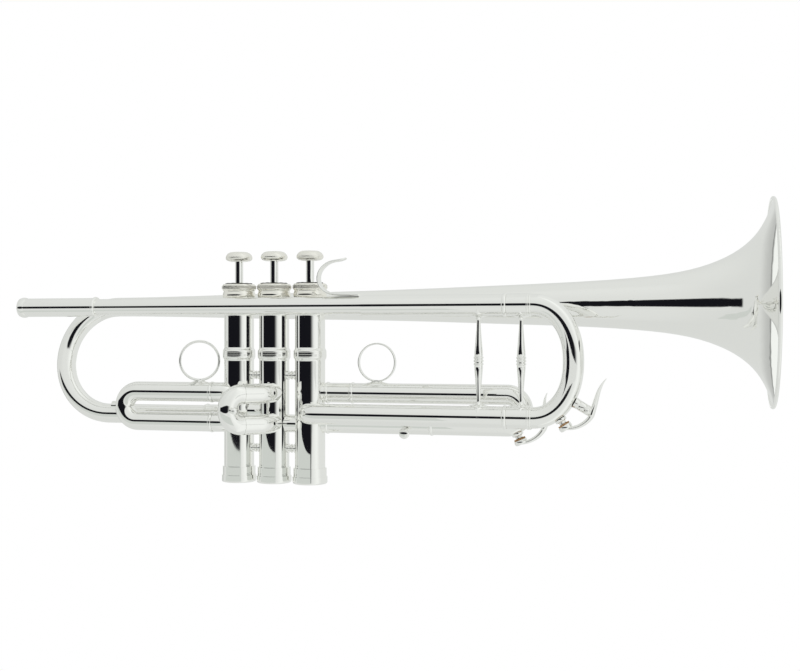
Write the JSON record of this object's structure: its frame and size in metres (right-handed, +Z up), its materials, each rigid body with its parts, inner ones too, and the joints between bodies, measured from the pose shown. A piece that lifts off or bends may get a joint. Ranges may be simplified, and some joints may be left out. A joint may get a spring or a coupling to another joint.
{
  "type": "trumpet",
  "caption": "Three-valve brass trumpet with working pistons, pull-out tuning and valve slides, and sprung water keys.",
  "frame": {"origin": "on the leadpipe's axis at the mouth of the mouthpiece receiver", "axes": "+X along the leadpipe towards the bell, +Z up towards the valve buttons, +Y to the player's left"},
  "size_m": [0.482, 0.1294, 0.1777],
  "materials": {
    "silver_plate": "bright silver plate over brass",
    "monel": "lapped nickel-copper alloy",
    "spring_steel": "drawn steel wire",
    "felt": "black pressed felt",
    "cork": "cut cork",
    "guide_plastic": "moulded nylon"
  },
  "bodies": {
    "horn": {"mouthpiece_receiver": "silver_plate", "leadpipe": "silver_plate", "upper_slide_sleeve": "silver_plate", "return_pipe": "silver_plate", "valve_casing_1": "silver_plate", "valve_casing_2": "silver_plate", "valve_casing_3": "silver_plate", "casing_links": "silver_plate", "top_cap_1": "silver_plate", "top_cap_2": "silver_plate", "top_cap_3": "silver_plate", "bottom_cap_1": "silver_plate", "bottom_cap_2": "silver_plate", "bottom_cap_3": "silver_plate", "valve_guides": "guide_plastic", "cap_felts": "felt", "bell": "silver_plate", "bell_rim_wire": "silver_plate", "bell_bow": "silver_plate", "bell_tail_ferrule": "silver_plate", "bell_braces": "silver_plate", "sleeve_brace": "silver_plate", "pinky_hook": "silver_plate", "first_slide_stubs": "silver_plate", "second_slide_sleeves": "silver_plate", "third_slide_stubs": "silver_plate", "third_stop_screw": "silver_plate"},
    "valve_1": {"piston_1": "monel", "stem_1": "silver_plate", "button_1": "silver_plate", "stop_felt_1": "felt", "valve_spring_1": "spring_steel"},
    "valve_2": {"piston_2": "monel", "stem_2": "silver_plate", "button_2": "silver_plate", "stop_felt_2": "felt", "valve_spring_2": "spring_steel"},
    "valve_3": {"piston_3": "monel", "stem_3": "silver_plate", "button_3": "silver_plate", "stop_felt_3": "felt", "valve_spring_3": "spring_steel"},
    "tuning_slide": {"tuning_slide_tubes": "silver_plate", "tuning_ferrules": "silver_plate", "tuning_crook": "silver_plate", "tuning_brace": "silver_plate", "main_water_key_saddle": "silver_plate"},
    "first_slide": {"first_slide_tubes": "silver_plate", "first_slide_crook": "silver_plate", "first_thumb_ring": "silver_plate"},
    "second_slide": {"second_slide_tubes": "silver_plate", "second_slide_crook": "silver_plate"},
    "third_slide": {"third_slide_tubes": "silver_plate", "third_slide_crook": "silver_plate", "third_finger_ring": "silver_plate", "third_water_key_saddle": "silver_plate"},
    "main_water_key": {"main_water_key_lever": "silver_plate", "main_water_key_cork": "cork"},
    "third_water_key": {"third_water_key_lever": "silver_plate", "third_water_key_cork": "cork"}
  },
  "joints": [
    {"name": "valve_1_press", "type": "slide", "parent": "horn", "child": "valve_1", "axis": [0, 0, -1], "range_m": [0, 0.014], "stiffness_N_per_m": 130, "springref_m": -0.015, "deforming": ["valve_spring_1"]},
    {"name": "valve_2_press", "type": "slide", "parent": "horn", "child": "valve_2", "axis": [0, 0, -1], "range_m": [0, 0.014], "stiffness_N_per_m": 130, "springref_m": -0.015, "deforming": ["valve_spring_2"]},
    {"name": "valve_3_press", "type": "slide", "parent": "horn", "child": "valve_3", "axis": [0, 0, -1], "range_m": [0, 0.014], "stiffness_N_per_m": 130, "springref_m": -0.015, "deforming": ["valve_spring_3"]},
    {"name": "tuning_slide_pull", "type": "slide", "parent": "horn", "child": "tuning_slide", "axis": [1, 0, 0], "range_m": [0, 0.05]},
    {"name": "first_slide_pull", "type": "slide", "parent": "horn", "child": "first_slide", "axis": [-1, 0, 0], "range_m": [0, 0.02]},
    {"name": "second_slide_pull", "type": "slide", "parent": "horn", "child": "second_slide", "axis": [-0.6947, -0.7193, 0], "range_m": [0, 0.008]},
    {"name": "third_slide_pull", "type": "slide", "parent": "horn", "child": "third_slide", "axis": [1, 0, 0], "range_m": [0, 0.025]},
    {"name": "main_water_key_press", "type": "hinge", "parent": "tuning_slide", "child": "main_water_key", "pos_m": [0.3746, 0, -0.0626], "axis": [0, -1, 0], "range_deg": [0, 20], "stiffness_Nm_per_rad": 0.03, "springref_deg": -22.92},
    {"name": "third_water_key_press", "type": "hinge", "parent": "third_slide", "child": "third_water_key", "pos_m": [0.3446, 0.018, -0.0706], "axis": [0, -1, 0], "range_deg": [0, 20], "stiffness_Nm_per_rad": 0.03, "springref_deg": -22.92}
  ]
}
